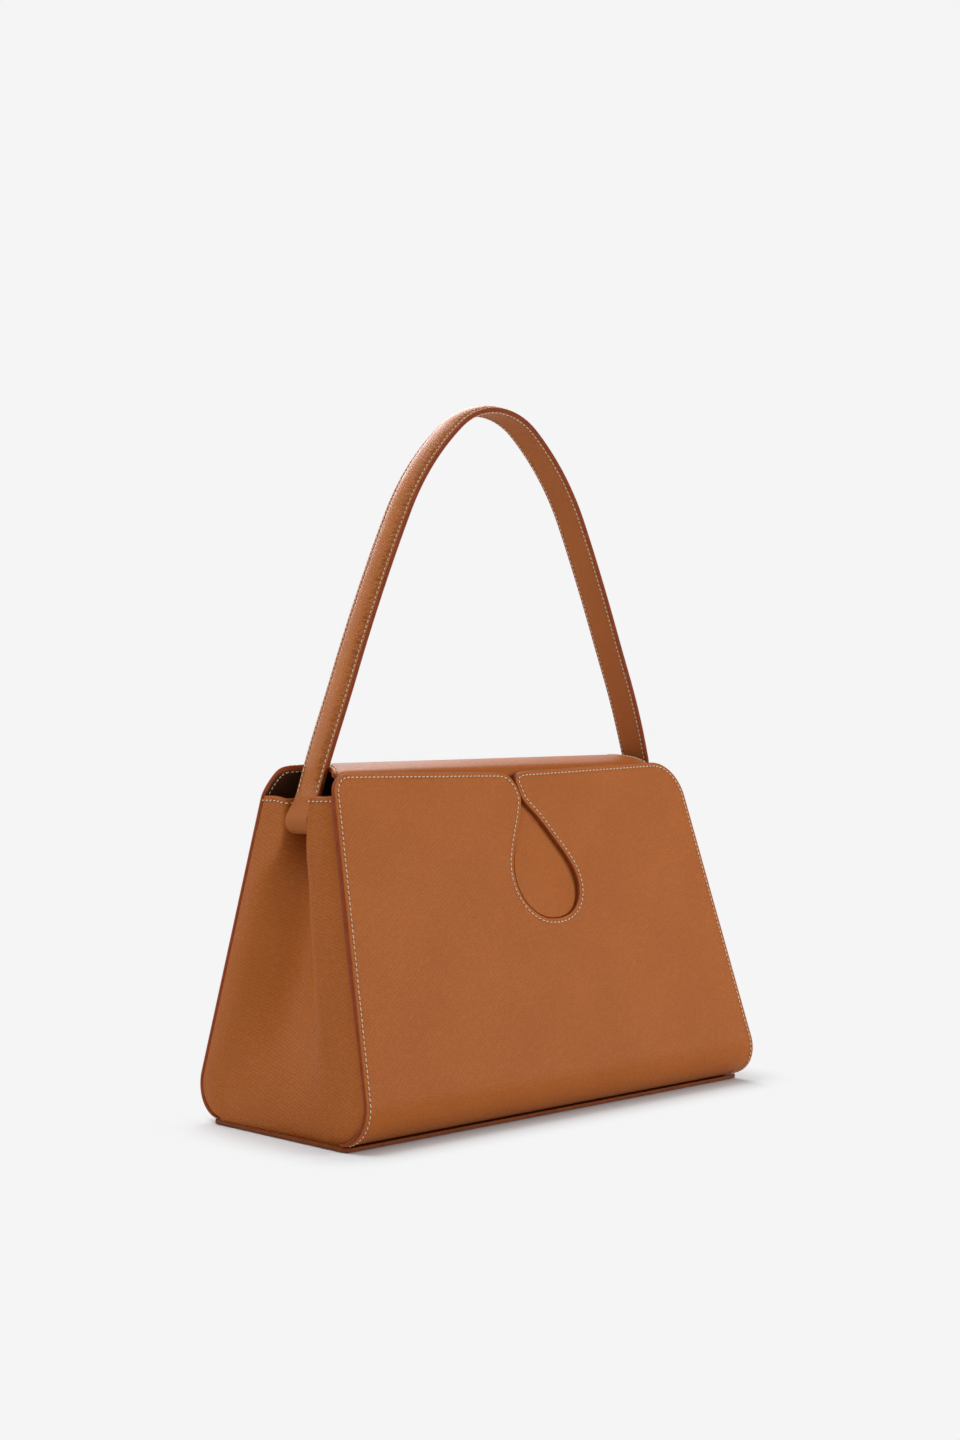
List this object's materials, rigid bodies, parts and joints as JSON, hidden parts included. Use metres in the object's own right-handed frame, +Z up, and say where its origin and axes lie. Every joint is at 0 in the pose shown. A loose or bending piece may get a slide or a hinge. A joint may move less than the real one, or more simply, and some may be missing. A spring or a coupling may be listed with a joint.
{
  "type": "shoulder bag",
  "caption": "Structured leather shoulder bag with a flat base, pleated sides, a tuck-in flap behind a front panel with a drop-shaped keyhole, and one arched handle.",
  "frame": {"origin": "middle of the base's underside", "axes": "+Z up, -Y out of the front panel with the keyhole, +X to the right as the front is seen"},
  "size_m": [0.3, 0.1462, 0.398],
  "materials": {
    "grained_leather": "tan, fine embossed grain, satin",
    "smooth_leather": "tan, smooth, satin",
    "painted_edge": "red-brown edge paint",
    "lining": "dark brown, matte",
    "leatherboard": "plain stiffener, matte",
    "thread": "cream waxed thread",
    "magnet_steel": "nickel plated",
    "dowel_wood": "plain"
  },
  "bodies": {
    "root": {"base_panel": "painted_edge", "base_board": "leatherboard", "base_insert": "lining", "back_panel": "grained_leather", "back_board": "leatherboard", "back_lining": "lining", "front_panel": "grained_leather", "front_board": "leatherboard", "front_backing": "smooth_leather", "front_lining": "lining", "front_magnets": "magnet_steel", "left_gusset": "grained_leather", "right_gusset": "grained_leather", "left_gusset_lining": "lining", "right_gusset_lining": "lining", "left_handle_loop": "smooth_leather", "right_handle_loop": "smooth_leather", "left_loop_dowel": "dowel_wood", "right_loop_dowel": "dowel_wood", "left_handle_end": "grained_leather", "right_handle_end": "grained_leather"},
    "flap": {"flap_leather": "grained_leather", "flap_board": "leatherboard", "flap_lining": "lining", "flap_magnets": "magnet_steel"},
    "handle": {"handle_outer": "grained_leather", "handle_core": "leatherboard", "handle_lining": "smooth_leather"}
  },
  "joints": [
    {"name": "flap_open", "type": "hinge", "parent": "root", "child": "flap", "pos_m": [0, 0.03169, 0.181], "axis": [-1, 0, 0], "range_deg": [0, 170]},
    {"name": "handle_swing", "type": "hinge", "parent": "root", "child": "handle", "pos_m": [0, 0, 0.205], "axis": [1, 0, 0], "range_deg": [-80, 80]}
  ]
}
